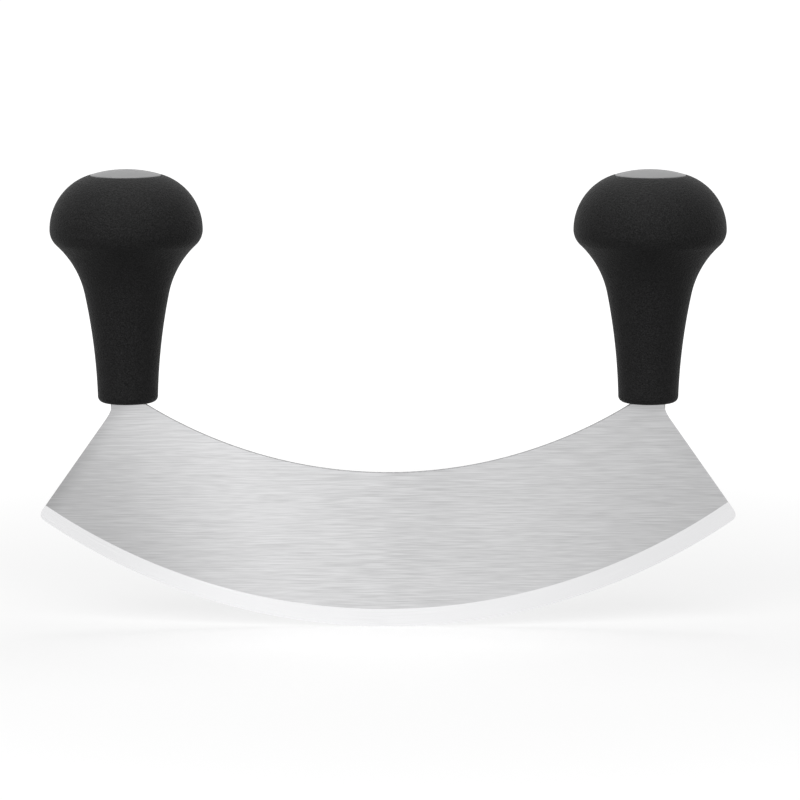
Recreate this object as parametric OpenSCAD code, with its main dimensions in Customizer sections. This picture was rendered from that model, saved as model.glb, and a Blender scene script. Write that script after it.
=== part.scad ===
// Mezzaluna: a crescent chopping knife that is rocked by two upright knob handles.
// X runs along the blade, Y across its thickness and Z up through the handles.
// The origin is the lowest point of the cutting edge, and all sizes are in millimetres.

/* [Show] */
// Piece to draw, or all of them

/* [Blade] */
// Distance between the blade's two corners before they are rounded
corner_span = 232.6; // [226:0.2:238]
// Radius of the curved cutting edge
edge_radius = 200; // [190:1:215]
// Radius of the hollow back between the handles
spine_radius = 151; // [146:1:155]
// Height of the lowest point of the hollow back
spine_height = 52; // [46:0.5:56]
// Thickness of the steel sheet
blade_thickness = 2; // [1.6:0.1:2.4]
// Width of the ground strip along the cutting edge
bevel_width = 6; // [4:0.5:8]
// Thickness left along the very edge
edge_land = 0.3; // [0.2:0.05:0.5]
// Rounding of the two blade corners
tip_rounding = 2.2; // [1:0.1:3]

/* [Handles] */
// Distance between the two handle axes
handle_span = 172; // [168:1:176]
// Height of the grips' lower ends
grip_bottom = 75.8; // [75:0.1:77]
// Height of the crowns of the knobs
grip_top = 152.7; // [151:0.1:155]
// Radius of the domed crown
crown_radius = 39.9; // [36:0.1:44]
// Radius of the short curve outside the cap
brow_radius = 17.8; // [16:0.1:20]
// Radius of the knob's upper shoulder
shoulder_radius = 18.8; // [18:0.1:19.5]
// Radius of the tight curve under the knob
belly_radius = 6.8; // [6:0.1:8]
// Radius of the hollow where the knob runs into the neck
throat_radius = 30.4; // [28:0.2:33]
// Radius of the long hollow curve of the neck
neck_radius = 197; // [180:1:220]
// Rounding around the lower end
lip_rounding = 2; // [1:0.1:2.4]
// Thickness of the black outer moulding
skin = 3; // [2.4:0.1:3.4]

/* [Tangs] */
// Width of each tang
tang_width = 11.2; // [10:0.1:11.6]
// Thickness of each tang, which is relieved a little from the sheet
tang_thickness = 1.8; // [1.4:0.1:1.8]
// Height of the tangs' upper ends
tang_top = 98; // [95:0.5:100]

/* [Fastening] */
// Diameter of the threaded rods
rod_diameter = 6; // [5.5:0.1:6]
// Height of the rods' lower ends
rod_bottom = 90; // [88:0.5:92]
// Height of the seat under the nut and washers
nut_seat = 136; // [134:0.5:137]
// Width of the nut across its flats
nut_flats = 10; // [9:0.1:10]
// Height of the nut
nut_height = 5; // [4:0.1:5]
// Outside diameter of the flat washer
washer_diameter = 12; // [11.5:0.1:12.4]
// Thickness of both washers
washer_thickness = 1.6; // [1.2:0.1:1.6]
// Outside diameter of the spring washer
spring_diameter = 11; // [10.4:0.1:11.4]
// Pitch of the thread
thread_pitch = 1; // [1:0.05:1.25]

/* [Caps] */
// Diameter of the grey cap
cap_diameter = 23.3; // [22.8:0.1:23.8]
// Diameter of the cap's push-in skirt
skirt_diameter = 20; // [19:0.1:20.4]
// Wall thickness of the skirt
skirt_wall = 1.4; // [1.2:0.1:1.8]
// Height of the seat that the cap rests on
cap_seat = 147.6; // [147.2:0.1:148]
// Length of the skirt below the seat
skirt_length = 4; // [3.6:0.1:4.4]

/* [Fits] */
// Gap all around a tang in its slot
tang_gap = 0.15; // [0.1:0.05:0.25]
// Gap all around a rod in its bore
rod_gap = 0.25; // [0.2:0.05:0.4]
// Gap around the cap in the crown
cap_gap = 0.12; // [0.1:0.02:0.2]
// Gap between parts that rest on each other
rest_gap = 0.05; // [0.04:0.01:0.08]

/* [Hidden] */
half_thickness = blade_thickness / 2;
spine_centre = spine_height + spine_radius;
handle_x = handle_span / 2;
shoulder_z = grip_bottom - 0.8;
corner = [corner_span / 2, edge_radius - sqrt(pow(edge_radius, 2) - pow(corner_span / 2, 2))];
neck_outer = handle_x + tang_width / 2;
lean = 35.1;
side_run = [-sin(lean), cos(lean)];
side_in = [-cos(lean), -sin(lean)];
neck_meet = (corner[0] - neck_outer) / sin(lean);
neck_foot = corner + neck_meet * side_run;
crown_turn = 18;
brow_turn = 29.7;
belly_turn = 137.1;
throat_turn = 101.6;
radii = [crown_radius, brow_radius, shoulder_radius, belly_radius, -throat_radius, -neck_radius];
turns = [0, crown_turn, brow_turn, 90, belly_turn, throat_turn];
steps = [4, 2, 8, 6, 6, 5];
bore_radius = rod_diameter / 2 + rod_gap;
well_radius = cap_diameter / 2 + cap_gap;
spanner_radius = nut_flats / 2 / cos(30) + 1.5;
skirt_radius = skirt_diameter / 2;
skirt_bottom = cap_seat - skirt_length;
cap_roof = cap_seat + 2;
floor_z = grip_bottom + 2.2;
washer_z = nut_seat + rest_gap;
spring_z = washer_z + washer_thickness + rest_gap;
nut_z = spring_z + washer_thickness + rest_gap;
rod_top = nut_z + nut_height + 2 * thread_pitch;
thread_start = nut_seat - 4 * thread_pitch;
thread_turns = floor((rod_top - thread_start) / thread_pitch);
thread_depth = 0.55;

// Direction square to the outline for a heading, where 0 is level and 90 is straight down
function way(a) = [sin(a), cos(a)];

// Centre of one of the outline's arcs, found from the one above it
function centre(i) =
    i == 0 ? [0, grip_top - crown_radius]
    : centre(i - 1) + (radii[i - 1] - radii[i]) * way(turns[i]);

// Heading at which the neck's curve hands over to the rounded lower lip
neck_end = acos((grip_bottom + lip_rounding - centre(5)[1]) / -(neck_radius + lip_rounding));
lip_centre = centre(5) - (neck_radius + lip_rounding) * way(neck_end);

// Points along one arc, set in from the surface by a depth
function arc_points(i, last, inset) = [
    for (k = [0:steps[i] - 1])
        let (a = turns[i] + (last - turns[i]) * k / steps[i])
            centre(i) + (radii[i] - inset) * way(a)
];

// Points of the whole outline down to the end of the neck
function grip_points(inset) = [
    for (i = [0:5])
        each arc_points(i, i < 5 ? turns[i + 1] : neck_end, inset)
];

// Outline of the grip in its half section
module grip_section() {
    lip = [for (k = [0:5]) lip_centre + lip_rounding * way(neck_end + (180 - neck_end) * k / 5)];
    polygon(concat(grip_points(0), lip, [[0, grip_bottom]]));
}

// Half section that lies a given depth inside the grip, cut level above and below
module inner_section(inset, low, high) {
    end = centre(5) - (neck_radius + inset) * way(neck_end);
    intersection() {
        polygon(concat(grip_points(inset), [end, [end[0], grip_bottom - 1], [0, grip_bottom - 1]]));
        translate([0, low])
            square([40, high - low]);
    }
}

// Sharp-cornered piece that is taken off a blade corner to round it
module corner_waste() {
    inner = corner + tip_rounding * (side_in + side_run);
    rounded = [
        for (k = [0:5])
            inner - tip_rounding * (side_in * cos(18 * k) + side_run * sin(18 * k))
    ];
    polygon(concat([corner - 2 * (side_in + side_run)], rounded));
}

// Flat outline of the crescent with its two necks, open below where the edge is ground
module blade_outline() {
    difference() {
        polygon([
            [-(corner - 6 * side_run)[0], (corner - 6 * side_run)[1]],
            [-neck_foot[0], neck_foot[1]],
            [-neck_outer, shoulder_z],
            [neck_outer, shoulder_z],
            neck_foot,
            corner - 6 * side_run,
            [corner[0], -5],
            [-corner[0], -5]
        ]);
        translate([0, spine_centre])
            circle(r = spine_radius, $fn = 240);
        corner_waste();
        mirror([1, 0])
            corner_waste();
    }
}

// Wheel-shaped form with the curved edge, thinned towards it from both faces
module grinding_form() {
    translate([0, 0, edge_radius])
        rotate([90, 0, 0])
            rotate_extrude($fn = 360)
                polygon([
                    [0, -half_thickness],
                    [edge_radius - bevel_width, -half_thickness],
                    [edge_radius, -edge_land / 2],
                    [edge_radius, edge_land / 2],
                    [edge_radius - bevel_width, half_thickness],
                    [0, half_thickness]
                ]);
}

// Flat tang that runs up into a handle
module tang(side) {
    translate([side * handle_x - tang_width / 2, -tang_thickness / 2, shoulder_z - 2])
        cube([tang_width, tang_thickness, tang_top - shoulder_z + 2]);
}

module blade() {
    color([0.78, 0.79, 0.8]) {
        intersection() {
            rotate([90, 0, 0])
                linear_extrude(height = blade_thickness + 1, center = true)
                    blade_outline();
            grinding_form();
        }
        tang(-1);
        tang(1);
    }
}

// Black outer moulding, open for the cap above and for the tang below
module grip() {
    color([0.07, 0.07, 0.07])
        difference() {
            rotate_extrude($fn = 96)
                difference() {
                    grip_section();
                    inner_section(skin, floor_z, cap_seat);
                    translate([0, cap_seat - 1])
                        square([well_radius, 10]);
                }
            tang_slot(grip_bottom - 1, floor_z + 1);
        }
}

// Slot that a tang slides into
module tang_slot(low, high) {
    wide = tang_width + 2 * tang_gap;
    deep = tang_thickness + 2 * tang_gap;
    translate([-wide / 2, -deep / 2, low])
        cube([wide, deep, high - low]);
}

// Hard inner moulding that carries the pull of the nut
module core() {
    color([0.2, 0.2, 0.21])
        difference() {
            rotate_extrude($fn = 72)
                difference() {
                    inner_section(skin + rest_gap, floor_z + rest_gap, cap_seat - rest_gap);
                    translate([0, rod_bottom - 0.5])
                        square([bore_radius, 80]);
                    translate([0, nut_seat])
                        square([spanner_radius, 40]);
                    translate([0, skirt_bottom - 0.4])
                        square([skirt_radius + cap_gap, 40]);
                    translate([skirt_radius, skirt_bottom + 1.5])
                        rotate(45)
                            square(0.9, center = true);
                }
            tang_slot(floor_z - 1, tang_top + 0.4);
        }
}

// Threaded steel rod, forked over the top of the tang
module rod() {
    r = rod_diameter / 2;
    color([0.62, 0.63, 0.64])
        difference() {
            rotate_extrude($fn = 48)
                polygon(concat(
                    [[0, rod_bottom], [r - 0.4, rod_bottom], [r, rod_bottom + 0.4]],
                    [
                        for (k = [0:thread_turns - 1])
                            each [
                                [r, thread_start + k * thread_pitch],
                                [r - thread_depth, thread_start + (k + 0.5) * thread_pitch]
                            ]
                    ],
                    [[r - 0.2, rod_top - 0.4], [r - 0.6, rod_top], [0, rod_top]]
                ));
            translate([-r - 1, -tang_thickness / 2 - rest_gap, rod_bottom - 1])
                cube([2 * r + 2, tang_thickness + 2 * rest_gap, tang_top + rest_gap - rod_bottom + 1]);
        }
}

module washer() {
    color([0.7, 0.7, 0.71])
        translate([0, 0, washer_z])
            linear_extrude(height = washer_thickness)
                difference() {
                    circle(d = washer_diameter, $fn = 60);
                    circle(r = bore_radius, $fn = 48);
                }
}

// Ring with one slanting cut
module spring_washer() {
    color([0.45, 0.45, 0.47])
        translate([0, 0, spring_z])
            difference() {
                linear_extrude(height = washer_thickness)
                    difference() {
                        circle(d = spring_diameter, $fn = 60);
                        circle(r = bore_radius, $fn = 48);
                    }
                translate([spring_diameter / 2 - 1, 0, washer_thickness / 2])
                    rotate([20, 0, 0])
                        cube([4, 1, 6], center = true);
            }
}

// Six-sided nut with chamfered corners
module nut() {
    corner_radius = nut_flats / 2 / cos(30);
    color([0.66, 0.67, 0.68])
        translate([0, 0, nut_z])
            difference() {
                intersection() {
                    linear_extrude(height = nut_height)
                        circle(r = corner_radius, $fn = 6);
                    rotate_extrude($fn = 60)
                        polygon([
                            [0, 0],
                            [nut_flats / 2 - 0.1, 0],
                            [corner_radius + 0.1, 0.5],
                            [corner_radius + 0.1, nut_height - 0.5],
                            [nut_flats / 2 - 0.1, nut_height],
                            [0, nut_height]
                        ]);
                }
                translate([0, 0, -1])
                    cylinder(r = rod_diameter / 2 + rest_gap, h = nut_height + 2, $fn = 48);
            }
}

// Grey domed cap that snaps into the crown
module cap() {
    r = cap_diameter / 2;
    rim = asin((r - 0.2) / crown_radius);
    dome = [for (k = [0:6]) centre(0) + crown_radius * way(rim * k / 6)];
    edge = centre(0) + crown_radius * way(asin(r / crown_radius));
    color([0.6, 0.6, 0.6])
        rotate_extrude($fn = 72)
            polygon(concat(dome, [
                [r, edge[1] - 0.2],
                [r, cap_seat],
                [skirt_radius, cap_seat],
                [skirt_radius, skirt_bottom + 2],
                [skirt_radius + 0.3, skirt_bottom + 1.5],
                [skirt_radius, skirt_bottom + 1],
                [skirt_radius - 0.3, skirt_bottom],
                [skirt_radius - skirt_wall, skirt_bottom],
                [skirt_radius - skirt_wall, cap_roof],
                [0, cap_roof]
            ]));
}

// Places a handle piece on the left or right handle axis
module at_side(side) {
    translate([side * handle_x, 0, 0])
        children();
}

module left_grip() {
    at_side(-1)
        grip();
}

module right_grip() {
    at_side(1)
        grip();
}

module left_core() {
    at_side(-1)
        core();
}

module right_core() {
    at_side(1)
        core();
}

module left_rod() {
    at_side(-1)
        rod();
}

module right_rod() {
    at_side(1)
        rod();
}

module left_washer() {
    at_side(-1)
        washer();
}

module right_washer() {
    at_side(1)
        washer();
}

module left_spring_washer() {
    at_side(-1)
        spring_washer();
}

module right_spring_washer() {
    at_side(1)
        spring_washer();
}

module left_nut() {
    at_side(-1)
        nut();
}

module right_nut() {
    at_side(1)
        nut();
}

module left_cap() {
    at_side(-1)
        cap();
}

module right_cap() {
    at_side(1)
        cap();
}

blade();
left_grip();
right_grip();
left_core();
right_core();
left_rod();
right_rod();
left_washer();
right_washer();
left_spring_washer();
right_spring_washer();
left_nut();
right_nut();
left_cap();
right_cap();
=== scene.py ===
# %% [markdown]
# A mezzaluna is a crescent-shaped chopping knife with an upright handle at each end.
# The solids come from the CAD model; this script dresses them, and every new piece
# is a surface worked out with numpy in the same frame, in metres.
# X runs along the blade, Y away from the viewer and Z up, from the lowest point of the edge.

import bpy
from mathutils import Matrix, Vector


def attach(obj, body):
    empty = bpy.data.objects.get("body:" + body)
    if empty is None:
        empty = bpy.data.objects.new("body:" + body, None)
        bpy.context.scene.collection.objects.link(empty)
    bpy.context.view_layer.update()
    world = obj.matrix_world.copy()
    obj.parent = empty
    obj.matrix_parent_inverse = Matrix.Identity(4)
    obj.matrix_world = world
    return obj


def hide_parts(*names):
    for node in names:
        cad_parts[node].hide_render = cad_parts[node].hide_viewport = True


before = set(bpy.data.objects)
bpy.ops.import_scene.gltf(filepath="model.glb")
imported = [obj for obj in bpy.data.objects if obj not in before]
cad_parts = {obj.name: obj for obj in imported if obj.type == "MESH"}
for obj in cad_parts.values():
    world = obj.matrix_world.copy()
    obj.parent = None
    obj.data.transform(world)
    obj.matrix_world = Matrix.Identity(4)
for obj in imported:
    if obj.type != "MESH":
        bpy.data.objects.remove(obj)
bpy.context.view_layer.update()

# %% [markdown]
# All the sums are done on whole arrays. Sizes are written in millimetres, as on a
# maker's drawing, and are turned into metres when a mesh is made. The last line names
# three outputs of the Light Path node by their number.

import bpy
import numpy as np

MM = 0.001
HANDLE_X = 86.0
GRIP_BOTTOM, GRIP_TOP = 75.8, 152.7
CAP_RADIUS, WELL_RADIUS, CAP_SEAT = 11.65, 11.77, 147.6
EDGE_RADIUS, SPINE_RADIUS, SPINE_CENTRE = 200.0, 151.0, 203.0
HALF_SHEET, HALF_LAND = 1.0, 0.15
MOUTH = 75.0
CORNER_X, LEAN = 116.3, 35.1
CORNER_Z = EDGE_RADIUS - (EDGE_RADIUS**2 - CORNER_X**2) ** 0.5
WALL, FOOT_WALL, FOOT_BORE = 3.0, 2.2, 6.5
TANG_HALF_WIDTH, TANG_HALF_SHEET, TANG_START, TANG_TOP = 5.6, 0.9, 73.5, 98.0
CAMERA_RAY, GLOSSY_RAY, TRANSMISSION_RAY = 0, 3, 6


def heading(degrees):
    """Unit vector square to an outline that runs outwards at 0 degrees and down at 90."""
    turn = np.radians(degrees)
    return np.stack([np.sin(turn), np.cos(turn)], axis=-1)


# %% [markdown]
# One helper puts points and faces into a mesh, marks its sharp edges, gives it its
# finishes, makes it ride on the knife's only body and hides the CAD node that it replaces.

# %% Making a piece
def make_piece(name, points, faces, finishes, node, sharp=25.0, choice=None):
    """Builds a mesh object from points in millimetres, with its place in the mesh."""
    mesh = bpy.data.meshes.new(name)
    mesh.from_pydata((np.asarray(points) * MM).tolist(), [], faces)
    for finish in finishes:
        mesh.materials.append(finish)
    if choice is not None:
        mesh.polygons.foreach_set("material_index", np.asarray(choice, dtype=np.int32))
    mesh.validate()
    mesh.shade_smooth()
    mesh.set_sharp_from_angle(angle=np.radians(sharp))
    piece = bpy.data.objects.new(name, mesh)
    bpy.context.scene.collection.objects.link(piece)
    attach(piece, "root")
    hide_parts(node)
    print(f"{name}: {len(mesh.vertices)} points, {len(mesh.polygons)} faces")
    return piece


# %% [markdown]
# The finishes are node materials. A small class wraps a socket, so that sums on it can be
# written as ordinary Python, and each sum adds the Math node that does it.

# %% Writing finishes as sums
class Wire:
    """An output socket; +, -, * and / on it add Math nodes to its graph."""

    def __init__(self, graph, socket):
        self.graph, self.socket = graph, socket

    def maths(self, operation, *values):
        """Result of one Math node; it starts with the wire's own graph."""
        return self.graph.node("Math", {"operation": operation}, dict(enumerate(values)))[0]

    def __add__(self, other):
        return self.maths("ADD", self, other)

    def __sub__(self, other):
        return self.maths("SUBTRACT", self, other)

    def __mul__(self, other):
        return self.maths("MULTIPLY", self, other)

    def __truediv__(self, other):
        return self.maths("DIVIDE", self, other)

    def __rsub__(self, other):
        return self.maths("SUBTRACT", other, self)

    __radd__, __rmul__ = __add__, __mul__

    def root(self):
        """Square root of the value."""
        return self.maths("SQRT", self)

    def above(self, low, high):
        """0 below low, 1 above high, and a smooth step between them."""
        sockets = {"Value": self, "From Min": low, "From Max": high}
        return self.graph.node("MapRange", {"interpolation_type": "SMOOTHSTEP"}, sockets)[0]


class Graph:
    """A tree of nodes, with one method that makes any node."""

    def __init__(self, tree):
        self.tree = tree

    def node(self, kind, settings=None, sockets=None):
        """Adds a node, sets it up, fills or links its sockets and returns its outputs."""
        made = self.tree.nodes.new("ShaderNode" + kind)
        for key, value in (settings or {}).items():
            setattr(made, key, value)
        for key, value in (sockets or {}).items():
            if isinstance(value, Wire):
                self.tree.links.new(value.socket, made.inputs[key])
            else:
                made.inputs[key].default_value = value
        return [Wire(self, socket) for socket in made.outputs]

    def link(self, wire, shader, socket):
        """Joins a value to a socket of a shader."""
        self.tree.links.new(wire.socket, shader.inputs[socket])


class Finish(Graph):
    """A node material with one shader, whose constants are given by name."""

    def __init__(self, name, **constants):
        self.material = bpy.data.materials.new(name)
        self.material.use_nodes = True
        super().__init__(self.material.node_tree)
        self.shader = self.tree.nodes["Principled BSDF"]
        for socket, value in constants.items():
            self.shader.inputs[socket.replace("_", " ")].default_value = value

    def place(self, scale=(1, 1, 1), turn=(0, 0, 0)):
        """Object coordinates in metres, stretched and turned."""
        here = self.node("TexCoord")[3]
        return self.node("Mapping", {}, {"Vector": here, "Scale": scale, "Rotation": turn})[0]

    def noise(self, where, scale=1.0, detail=2.0, roughness=0.5):
        """Smooth noise from 0 to 1 at a place."""
        sockets = {"Vector": where, "Scale": scale, "Detail": detail, "Roughness": roughness}
        return self.node("TexNoise", {}, sockets)[0]

    def mix(self, share, first, second):
        """Colour between two colours."""
        made = self.node("Mix", {"data_type": "RGBA"}, {0: share, 6: first, 7: second})
        return made[2]

    def bump(self, height, depth, strength=1.0):
        """Normal of a surface that rises by depth metres where height is 1."""
        return self.node("Bump", {}, {"Strength": strength, "Distance": depth, "Height": height})[0]

    def feed(self, **wires):
        """Links values to the shader's own sockets."""
        for socket, wire in wires.items():
            self.link(wire, self.shader, socket.replace("_", " "))
        return self.material


def grey(level):
    """Neutral colour of a given linear level."""
    return (level, level, level * 1.01, 1.0)


# %% [markdown]
# The sheet is brushed along its length: fine scratches, long in X and hair-thin in Z,
# that wander a little. A noise stretched hard along X gives the scratches, a second one
# gives broader bands, and both change the colour, the gloss and the height by a little.
# The colour is also painted lighter left of the middle and darker towards both ends, with a narrow dark
# band along the left end: painted shade of the light falling off along the blade.

# %% Brushed steel of the blade's sides, with painted shade towards the ends
brushed = Finish("brushed_steel", Metallic=1.0, Anisotropic=0.6)
wander = brushed.noise(brushed.place((18, 18, 40)), detail=1.0)
position = brushed.node("SeparateXYZ", {}, {0: brushed.place()})


def hair_lines(along, across):
    """Noise stretched along X, whose lines wander up and down by a fraction of a millimetre."""
    height = (position[2] + wander * 0.0016) * across
    spot = brushed.node("CombineXYZ", {}, {0: position[0] * along, 1: position[1] * along, 2: height})
    return brushed.noise(spot[0], detail=2.0, roughness=0.6)


hairs, long_hairs = hair_lines(95.0, 3000.0), hair_lines(40.0, 1500.0)
bands = brushed.noise(brushed.place((4, 4, 60)), detail=2.0)
tone = hairs * 0.58 + long_hairs * 0.34 + bands * 0.08
lean = np.radians(LEAN)
# Painted shade: the colour darkens towards the left end along lines that lean by one in two, with a narrow
# painted dark band just inside that end, and darkens towards the right end.
from_corner = (position[0] + CORNER_X * MM, position[2] - CORNER_Z * MM)
from_end = from_corner[0] * float(np.cos(lean)) - from_corner[1] * float(np.sin(lean))
shade_slant = position[0] + position[2] * 0.5  # the tone's lines lean by one in two
painted_shade_left = (1 - shade_slant.above(-0.09, -0.022)) * 0.31 + (1 - from_end.above(-0.001, 0.006)) * 0.12
painted_shade_right = position[0].above(-0.05, 0.02) * 0.14 + position[0].above(0.03, 0.12) * 0.15
bright = brushed.mix(tone.above(0.3, 0.7), grey(0.7), grey(0.91))
# The painted shade takes away from the steel's own colour towards both ends.
BRUSHED = brushed.feed(
    Base_Color=brushed.mix(1 - painted_shade_left - painted_shade_right, grey(0.0), bright),
    Roughness=0.36 + tone.above(0.25, 0.75) * 0.12,
    Normal=brushed.bump(hairs + long_hairs, 0.000008),
)
print("brushed steel made")

# %% [markdown]
# The strip along the edge is ground after the brushing, and its marks follow the curve.
# Distance and angle round the edge's own centre make coordinates for noise that follows it.

# %% Ground steel of the bevel
ground = Finish("ground_steel", Metallic=1.0)
axis = ground.node("SeparateXYZ", {}, {0: ground.place()})
drop = EDGE_RADIUS * MM - axis[2]
reach = (axis[0] * axis[0] + drop * drop).root()
turned_by = axis[0].maths("ARCTAN2", axis[0], drop)
along = ground.node("CombineXYZ", {}, {0: turned_by * 9.0, 1: axis[1] * 20.0, 2: reach * 2600.0})[0]
grind = ground.noise(along, detail=3.0, roughness=0.6)
honed = reach.above((EDGE_RADIUS - 1.0) * MM, (EDGE_RADIUS - 0.4) * MM)
GROUND = ground.feed(
    Base_Color=ground.mix(grind.above(0.25, 0.75) * (1 - honed * 0.6), grey(0.96), grey(0.93)),
    Roughness=0.16 + grind * 0.1 + honed * 0.08,
    Normal=ground.bump(grind, 0.000003),
)
print("ground steel made")

# %% [markdown]
# The narrow sides of the sheet were cut and only linished, across the thickness.

# %% Cut steel of the back and the ends
cut = Finish("cut_steel", Metallic=1.0)
marks = cut.noise(cut.place((900, 40, 900)), detail=2.0)
CUT = cut.feed(
    Base_Color=cut.mix(marks.above(0.3, 0.7), grey(0.24), grey(0.36)),
    Roughness=0.4 + marks * 0.15,
    Normal=cut.bump(marks, 0.00001),
)

# %% [markdown]
# The grips are black plastic with a fine leathery grain from the spark-eroded mould.
# Rounded cells about half a millimetre across give the grain, finer noise breaks them up,
# and slow changes in gloss show where hands have polished it.

# %% Grained black plastic
grained = Finish("black_grained_plastic", Specular_IOR_Level=0.06)
cells = grained.node(
    "TexVoronoi", {"feature": "SMOOTH_F1"}, {"Vector": grained.place(), "Scale": 1500.0, "Smoothness": 0.6}
)[0]
fine = grained.noise(grained.place(), 3600.0, 2.0)
polish = grained.noise(grained.place(), 45.0, 2.0)
GRAINED = grained.feed(
    Base_Color=grained.mix(fine.above(0.35, 0.7), grey(0.008), grey(0.03)),
    Roughness=0.48 + fine * 0.14 - polish * 0.06,
    Normal=grained.bump(cells * 0.7 + fine * 0.5, 0.0003, 0.9),
)

# %% [markdown]
# The caps are satin grey plastic, smoother than the grips, with the faint swirl of the
# moulding and a hint of fine texture.

# %% Satin grey plastic of the caps
satin = Finish("satin_grey_plastic", Specular_IOR_Level=0.4)
swirl = satin.noise(satin.place(), 160.0, 3.0)
speckle = satin.noise(satin.place(), 4200.0, 2.0)
SATIN = satin.feed(
    Base_Color=satin.mix(swirl * 0.6 + speckle * 0.4, grey(0.215), grey(0.25)),
    Roughness=0.4 + speckle * 0.14,
    Normal=satin.bump(speckle, 0.00002, 0.6),
)

# %% [markdown]
# Each grip is a turned shape, so its outline is a chain of arcs that meet without a
# corner: crown, brow, shoulder, belly, throat and neck, then the rounded lower lip.
# The same chain, set in by the wall's thickness, gives the inside.

# %% The grip's outline
RADII = np.array([39.9, 17.8, 18.8, 6.8, -30.4, -197.0])
TURNS = np.array([0.0, 18.0, 29.7, 90.0, 137.1, 101.6])
LIP = 2.0
STEPS = (14, 8, 34, 26, 26, 26)


def arc_centres():
    """Centre of each arc: the one above it, moved along their shared normal."""
    centres = [np.array([0.0, GRIP_TOP - RADII[0]])]
    for i in range(1, len(RADII)):
        centres.append(centres[-1] + (RADII[i - 1] - RADII[i]) * heading(TURNS[i]))
    return centres


CENTRES = arc_centres()
NECK_END = np.degrees(np.arccos((GRIP_BOTTOM + LIP - CENTRES[5][1]) / (RADII[5] - LIP)))


def outline(inset):
    """Points down the grip's side at a depth below its surface: centre plus radius times normal."""
    ends = [*TURNS[1:], NECK_END]
    arcs = [
        CENTRES[i] + (RADII[i] - inset) * heading(np.linspace(TURNS[i], ends[i], STEPS[i], endpoint=False))
        for i in range(6)
    ]
    return np.vstack(arcs)


print("neck meets the lip at", round(float(NECK_END), 3), "degrees")

# %% [markdown]
# A turned piece carries its half outline round an upright axis. Where the outline starts
# and ends on the axis, one shared point closes each pole.

# %% Turning an outline
def turned(profile, x, around=160):
    """Each point (r, z) goes to (x + r cos a, r sin a, z) for every angle a round the axis."""
    angle = np.linspace(0, 2 * np.pi, around, endpoint=False)
    r, z = profile[1:-1, 0][:, None], profile[1:-1, 1][:, None]
    rows = np.stack([x + r * np.cos(angle), r * np.sin(angle), z + 0 * angle], axis=-1)
    points = np.vstack([rows.reshape(-1, 3), [[x, 0, profile[0, 1]], [x, 0, profile[-1, 1]]]])
    index = np.arange(rows.shape[0] * around).reshape(rows.shape[0], around)
    after = np.roll(index, -1, axis=1)
    quads = np.stack([index[:-1], index[1:], after[1:], after[:-1]], axis=-1).reshape(-1, 4)
    first, last = len(points) - 2, len(points) - 1
    start = np.stack([np.full(around, first), index[0], after[0]], axis=-1)
    end = np.stack([np.full(around, last), after[-1], index[-1]], axis=-1)
    return points, quads.tolist() + start.tolist() + end.tolist()


# %% [markdown]
# The grip is a shell: down its outside from the rim of the cap's well, round the lower lip,
# in to the axis, and the inside wall back up to the well. It is closed round the tang,
# as the real moulding is. The rim has a small rounding that catches the light.

# %% The two grips
def grip_profile():
    """Half outline of the shell, from the middle of its foot, up outside and down inside."""
    outer = outline(0.0)
    rim = outer[np.argmax(outer[:, 0] > WELL_RADIUS + 0.35):]
    lip = CENTRES[5] + (RADII[5] - LIP) * heading(NECK_END)
    lip = lip + LIP * heading(np.linspace(NECK_END, 180, 12))
    top = np.array([WELL_RADIUS + 0.2, rim[0, 1] + 0.04])
    edge = np.array([[WELL_RADIUS + 0.05, top[1] - 0.06], [WELL_RADIUS, top[1] - 0.22]])
    floor = GRIP_BOTTOM + FOOT_WALL
    inner = outline(WALL)
    inner = inner[(inner[:, 1] < CAP_SEAT) & (inner[:, 1] > floor)]
    foot = np.array([[FOOT_BORE, GRIP_BOTTOM], [0.0, GRIP_BOTTOM]])
    inside = np.vstack(
        [[WELL_RADIUS, CAP_SEAT], [inner[0, 0], CAP_SEAT], inner, [inner[-1, 0], floor], [0, floor]]
    )
    return np.vstack([foot[::-1], lip[::-1], rim[::-1], top, edge, inside])


for side, x in (("left", -HANDLE_X), ("right", HANDLE_X)):
    points, faces = turned(grip_profile(), x)
    make_piece(f"{side}_grip_moulding", points, faces, [GRAINED], f"{side}_grip")

# %% [markdown]
# Each cap is a dome that carries on the crown's curve, with a softened edge, and a thin
# skirt below that snaps into the core.

# %% The two caps
CAP_ROUND = 0.3
SKIRT, BEAD, BORE = 10.0, 10.3, 8.6
CEILING, BEAD_TOP, BEAD_MIDDLE, BEAD_FOOT, SKIRT_FOOT = 149.6, 145.6, 145.1, 144.6, 143.6


def cap_profile():
    """Half outline of a cap, over the dome, down the edge and round the skirt with its bead."""
    spread = np.degrees(np.arcsin((CAP_RADIUS - CAP_ROUND) / RADII[0]))
    dome = CENTRES[0] + RADII[0] * heading(np.linspace(0, spread, 22))
    edge_z = dome[-1, 1]
    bend = np.radians(np.linspace(70, 0, 6))
    out = CAP_RADIUS - CAP_ROUND + CAP_ROUND * np.cos(bend)
    edge = np.stack([out, edge_z - 0.36 + 0.34 * np.sin(bend)], axis=-1)
    skirt = [[CAP_RADIUS, CAP_SEAT], [SKIRT, CAP_SEAT], [SKIRT, BEAD_TOP], [BEAD, BEAD_MIDDLE]]
    inside = [[SKIRT, BEAD_FOOT], [SKIRT - 0.3, SKIRT_FOOT], [BORE, SKIRT_FOOT], [BORE, CEILING]]
    return np.vstack([dome, edge, skirt, inside, [[0.0, CEILING]]])


for side, x in (("left", -HANDLE_X), ("right", HANDLE_X)):
    points, faces = turned(cap_profile()[::-1], x, 128)
    make_piece(f"{side}_cap_dome", points, faces, [SATIN], f"{side}_cap")

# %% [markdown]
# The blade is flat, so its side is a sheet of points between curves. Two four-sided
# patches fill it: the ground strip along the edge, and the brushed body above. A patch
# blends its four boundary curves, adding the two pairs and taking away the corners.

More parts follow.
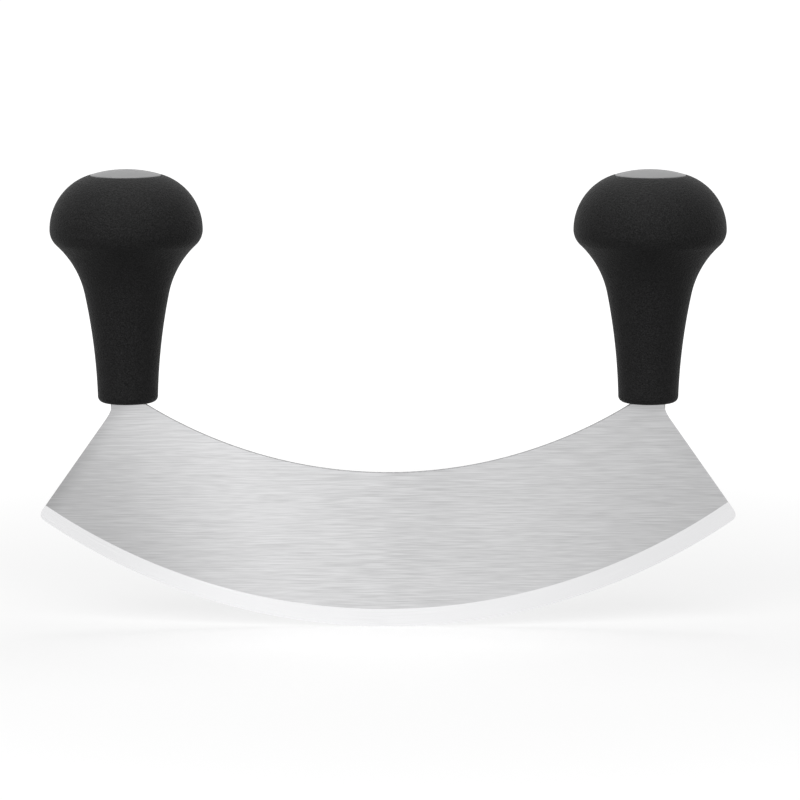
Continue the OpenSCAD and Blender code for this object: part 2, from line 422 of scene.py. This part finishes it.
# %% Filling between four curves
def patch(bottom, top, left, right):
    """Blend of bottom and top by height, plus left and right by length, minus the corners."""
    s = np.linspace(0, 1, len(bottom))[:, None, None]
    u = np.linspace(0, 1, len(left))[None, :, None]
    across = (1 - u) * bottom[:, None] + u * top[:, None]
    upward = (1 - s) * left[None] + s * right[None]
    corners = (1 - u) * ((1 - s) * bottom[0] + s * bottom[-1]) + u * ((1 - s) * top[0] + s * top[-1])
    return across + upward - corners


def spaced(path, count):
    """The same path with evenly spaced points."""
    run = np.concatenate([[0], np.cumsum(np.linalg.norm(np.diff(path, axis=0), axis=1))])
    at = np.linspace(0, run[-1], count)
    return np.stack([np.interp(at, run, path[:, 0]), np.interp(at, run, path[:, 1])], axis=-1)


def mirrored(path):
    """The path on the other side of the blade's middle."""
    return path * np.array([-1.0, 1.0])


# %% [markdown]
# The curves themselves: the edge is a circle, the ground strip narrows a little towards
# the left as a hand-ground one does, the ends are straight with a rounded nose, the necks
# rise into the grips, and the back is a hollow arc.

# %% The blade's curves
NOSE = 2.2
CORNER = np.array([CORNER_X, CORNER_Z])
UP_SIDE = np.array([-np.sin(np.radians(LEAN)), np.cos(np.radians(LEAN))])
INTO = np.array([-np.cos(np.radians(LEAN)), -np.sin(np.radians(LEAN))])
NECK_OUTER = HANDLE_X + 5.3
EASE_BELOW, EASE_ABOVE = 4.2, 2.0
STRIP_WIDTH, STRIP_SKEW, STRIP_TAPER = 6.1, 1.25, 3.76
COLUMNS, NECK_COLUMNS, STRIP_ROWS, BODY_ROWS = 280, 14, 9, 24


def strip_line(angle):
    """Inner line of the ground strip: width plus skew times sine minus taper times (1 - cosine)."""
    width = STRIP_WIDTH + STRIP_SKEW * np.sin(angle) - STRIP_TAPER * (1 - np.cos(angle))
    reach = EDGE_RADIUS - width
    return np.stack([reach * np.sin(angle), EDGE_RADIUS - reach * np.cos(angle)], axis=-1)


def side_meeting(sign):
    """Angle at which the strip's inner line meets the blade's end."""
    angle = np.linspace(0.4, 0.7, 4000)
    line = strip_line(sign * angle)
    line[:, 0] *= sign
    off = (line - CORNER) @ INTO
    return sign * angle[np.argmin(np.abs(off))]


def nose_path(sign):
    """Rounded corner from the edge to the end, then straight up to the strip's inner line."""
    middle = CORNER + NOSE * (INTO + UP_SIDE)
    bend = np.radians(np.linspace(90, 0, 10))[:, None]
    round_part = middle - NOSE * (INTO * np.cos(bend) + UP_SIDE * np.sin(bend))
    meet = strip_line(np.array([side_meeting(sign)]))[0] * np.array([sign, 1.0])
    return spaced(np.vstack([round_part, meet]), STRIP_ROWS) * np.array([sign, 1.0])


def end_path(sign, start):
    """Straight end up to the neck, eased round the foot of the neck, and up into the grip."""
    foot = CORNER + (CORNER[0] - NECK_OUTER) / np.sin(np.radians(LEAN)) * UP_SIDE
    low, high = foot - EASE_BELOW * UP_SIDE, foot + np.array([0.0, EASE_ABOVE])
    share = np.linspace(0, 1, 9)[:, None]  # a curve with three control points: low, foot, high
    eased = (1 - share) ** 2 * low + 2 * share * (1 - share) * foot + share**2 * high
    path = np.vstack([start * np.array([sign, 1.0]), eased, [NECK_OUTER, MOUTH]])
    return spaced(path, BODY_ROWS) * np.array([sign, 1.0])


def back_path():
    """Across one neck, down the hollow back and across the other neck."""
    inner = np.sqrt(SPINE_RADIUS**2 - (SPINE_CENTRE - MOUTH) ** 2)
    swing = np.arcsin(inner / SPINE_RADIUS)
    angle = np.linspace(-swing, swing, COLUMNS - 2 * NECK_COLUMNS)
    hollow = np.stack(
        [SPINE_RADIUS * np.sin(angle), SPINE_CENTRE - SPINE_RADIUS * np.cos(angle)], axis=-1
    )
    neck = np.stack(
        [np.linspace(-NECK_OUTER, -inner, NECK_COLUMNS, endpoint=False), np.full(NECK_COLUMNS, MOUTH)],
        axis=-1,
    )
    return np.vstack([neck, hollow, mirrored(neck)[::-1]])


# %% [markdown]
# Both faces of the sheet use the same points. The body is 2 mm thick, and across the
# ground strip the thickness falls in a straight line to a fine land at the edge.

# %% Building the blade
left_nose, right_nose = nose_path(-1.0), nose_path(1.0)
left_angle, right_angle = (np.arctan2(n[0, 0], EDGE_RADIUS - n[0, 1]) for n in (left_nose, right_nose))
edge_angle = np.linspace(left_angle, right_angle, COLUMNS)
edge = np.stack([EDGE_RADIUS * np.sin(edge_angle), EDGE_RADIUS * (1 - np.cos(edge_angle))], axis=-1)
line = strip_line(np.linspace(side_meeting(-1.0), side_meeting(1.0), COLUMNS))
strip = patch(edge, line, left_nose, right_nose)
body = patch(line, back_path(), end_path(-1.0, left_nose[-1]), end_path(1.0, right_nose[-1]))
sheet = np.concatenate([strip, body[:, 1:]], axis=1)
rows = sheet.shape[1]
half = np.full(sheet.shape[:2], HALF_SHEET)
half[:, :STRIP_ROWS] = np.linspace(HALF_LAND, HALF_SHEET, STRIP_ROWS)
front = np.stack([sheet[..., 0], -half, sheet[..., 1]], axis=-1).reshape(-1, 3)
back = front * np.array([1.0, -1.0, 1.0])
index = np.arange(COLUMNS * rows).reshape(COLUMNS, rows)
total = index.size
face_front = np.stack([index[:-1, :-1], index[1:, :-1], index[1:, 1:], index[:-1, 1:]], axis=-1)
face_kind = np.zeros(face_front.shape[:2], dtype=int)
face_kind[:, : STRIP_ROWS - 1] = 1
loop = np.concatenate([index[:-1, 0], index[-1, :-1], index[::-1, -1][:-1], index[0, ::-1][:-1]])
ring = np.stack([loop, loop + total, np.roll(loop, -1) + total, np.roll(loop, -1)], axis=-1)
face_front = face_front.reshape(-1, 4)
face_back = face_front[:, ::-1] + total


def box_points(low, high):
    """Eight corners of a box."""
    low, high = np.array(low), np.array(high)
    bits = np.array([[i & 1, i >> 1 & 1, i >> 2 & 1] for i in range(8)])
    return low + bits * (high - low)


BOX_FACES = np.array([[0, 2, 3, 1], [4, 5, 7, 6], [0, 1, 5, 4], [2, 6, 7, 3], [0, 4, 6, 2], [1, 3, 7, 5]])
tangs = [
    box_points(
        [x - TANG_HALF_WIDTH, -TANG_HALF_SHEET, TANG_START],
        [x + TANG_HALF_WIDTH, TANG_HALF_SHEET, TANG_TOP],
    )
    for x in (-HANDLE_X, HANDLE_X)
]
blade_points = np.vstack([front, back, *tangs])
blade_faces = np.vstack(
    [face_front, face_back, ring, BOX_FACES + 2 * total, BOX_FACES + 2 * total + 8]
)
ring_kind = np.where(np.arange(len(ring)) < COLUMNS - 1, 1, 2)
kinds = np.concatenate([face_kind.ravel(), face_kind.ravel(), ring_kind, np.full(12, 2)])
make_piece(
    "crescent_blade", blade_points, blade_faces.tolist(), [BRUSHED, GROUND, CUT],
    "blade", sharp=4.0, choice=kinds,
)

# %% [markdown]
# Inside each handle are pieces that nobody sees until it is taken apart. They keep their
# CAD shapes, and each still gets the finish that the real one has.

# %% Finishes of the inner pieces
def metal(name, dark, light, roughness, scale, depth):
    """Metal with cloudy changes of tone and fine marks."""
    finish = Finish(name, Metallic=1.0)
    cloud = finish.noise(finish.place(), 260.0, 3.0)
    tool = finish.noise(finish.place(scale), detail=2.0)
    return finish.feed(
        Base_Color=finish.mix(cloud * 0.7 + tool * 0.3, grey(dark), grey(light)),
        Roughness=roughness + tool * 0.12,
        Normal=finish.bump(tool, depth),
    )


def moulded(name, dark, light):
    """Plain moulded plastic with flow marks."""
    finish = Finish(name, Specular_IOR_Level=0.4)
    flow = finish.noise(finish.place((60, 60, 240)), detail=3.0)
    grit = finish.noise(finish.place(), 2400.0)
    return finish.feed(
        Base_Color=finish.mix(flow, grey(dark), grey(light)),
        Roughness=0.5 + grit * 0.12,
        Normal=finish.bump(grit, 0.00003),
    )


INNER = {
    "core": moulded("core_plastic", 0.06, 0.085),
    "rod": metal("turned_steel", 0.5, 0.62, 0.26, (60, 60, 1800), 0.000006),
    "washer": metal("zinc_plate", 0.58, 0.72, 0.3, (500, 500, 500), 0.000008),
    "spring_washer": metal("oiled_spring_steel", 0.16, 0.26, 0.34, (900, 900, 200), 0.000008),
    "nut": metal("zinc_plated_nut", 0.56, 0.7, 0.28, (300, 300, 900), 0.000008),
}
for side in ("left", "right"):
    for kind, finish in INNER.items():
        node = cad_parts[f"{side}_{kind}"]
        node.data.materials.clear()
        node.data.materials.append(finish)
print("inner finishes given to", 2 * len(INNER), "nodes")

# %% [markdown]
# The knife stands on a wide floor that is part of the studio. The floor keeps the soft
# shadow, and a glow that only the camera sees brings its colour up to white. In the steel's
# reflections the floor is nearly white too, and a little dimmer towards both ends.

# %% The studio floor
floor_mesh = bpy.data.meshes.new("studio_floor")
floor_mesh.from_pydata([(-9, -9, 0), (9, -9, 0), (9, 9, 0), (-9, 9, 0)], [], [(0, 1, 2, 3)])
floor = bpy.data.objects.new("studio_floor", floor_mesh)
bpy.context.scene.collection.objects.link(floor)
white = Finish("studio_white", Roughness=0.9, Specular_IOR_Level=0.0, Emission_Strength=1.0)
white.shader.inputs["Base Color"].default_value = (0.32, 0.32, 0.32, 1.0)
NEAR_GLOW = 0.66
spot = white.node("SeparateXYZ", {}, {0: white.place()})
away = (spot[0] * spot[0] + spot[1] * spot[1]).root()
seen = white.node("LightPath")
white.feed(Emission_Color=seen[CAMERA_RAY] * (NEAR_GLOW + away.above(0.12, 0.7) * (1 - NEAR_GLOW)))
dimness = spot[0].above(-0.03, 0.12) * 0.14 + (1 - spot[0].above(-0.115, -0.05)) * 0.1
glow = white.tree.nodes.new("ShaderNodeEmission")
white.link(0.99 - dimness, glow, "Color")
blend = white.tree.nodes.new("ShaderNodeMixShader")
bounced = seen[0].maths("MAXIMUM", seen[GLOSSY_RAY], seen[TRANSMISSION_RAY])
white.link(bounced, blend, 0)
white.tree.links.new(white.shader.outputs[0], blend.inputs[1])
white.tree.links.new(glow.outputs[0], blend.inputs[2])
white.tree.links.new(blend.outputs[0], white.tree.nodes["Material Output"].inputs[0])
floor_mesh.materials.append(white.material)

# %% [markdown]
# The surroundings are white where they are seen, directly or mirrored in the steel. For
# the light that they give, they are a weak and even grey, so that the lamps do the shaping.

# %% Studio surroundings
world = bpy.data.worlds.new("studio")
bpy.context.scene.world = world
world.use_nodes = True
sky = Graph(world.node_tree)
background = world.node_tree.nodes["Background"]
background.inputs["Color"].default_value = (1, 1, 1, 1)
AMBIENT = 0.2
sight = sky.node("LightPath")
shown = sight[0].maths("MAXIMUM", sight[CAMERA_RAY], sight[GLOSSY_RAY])
shown = shown.maths("MAXIMUM", shown, sight[TRANSMISSION_RAY])
sky.link(AMBIENT + shown * (1 - AMBIENT), background, "Strength")

# %% [markdown]
# One lamp hangs above and behind, and a larger, stronger one stands high in front, a
# little to the left. The first rounds the tops, and the second lights the fronts.

# %% Studio lamps
def soft_lamp(name, place, aim, power, width, height):
    """A rectangular lamp at a place, turned to face a point."""
    lamp = bpy.data.lights.new(name, "AREA")
    lamp.shape, lamp.size, lamp.size_y, lamp.energy = "RECTANGLE", width, height, power
    holder = bpy.data.objects.new(name, lamp)
    bpy.context.scene.collection.objects.link(holder)
    holder.location = place
    holder.rotation_euler = (Vector(aim) - Vector(place)).to_track_quat("-Z", "Y").to_euler()


MIDDLE = (0.0, 0.0, 0.09)
soft_lamp("overhead", (0.0, 0.35, 1.35), MIDDLE, 7.0, 1.0, 0.6)
soft_lamp("front_high", (-0.2, -1.1, 1.0), MIDDLE, 18.0, 1.6, 1.2)

# %% [markdown]
# The camera stands about 1.2 m away, a little above the knife, with a long lens. A small
# shift of the frame, given in pixels of an 800 pixel picture, puts the knife where the
# photograph has it.

# %% Camera
DISTANCE, RISE, AIM_HEIGHT, PICTURE = 1.2, np.radians(8.41), 0.07617, 800
camera_data = bpy.data.cameras.new("camera")
camera_data.lens, camera_data.sensor_width = 163.3, 36.0
camera_data.shift_x, camera_data.shift_y = 11.88 / PICTURE, 0.5 / PICTURE
camera = bpy.data.objects.new("camera", camera_data)
bpy.context.scene.collection.objects.link(camera)
camera.location = (0.0, -DISTANCE * np.cos(RISE), AIM_HEIGHT + DISTANCE * np.sin(RISE))
camera.rotation_euler = (np.pi / 2 - RISE, 0.0, 0.0)
bpy.context.scene.camera = camera
bpy.context.scene.view_settings.view_transform = "Standard"
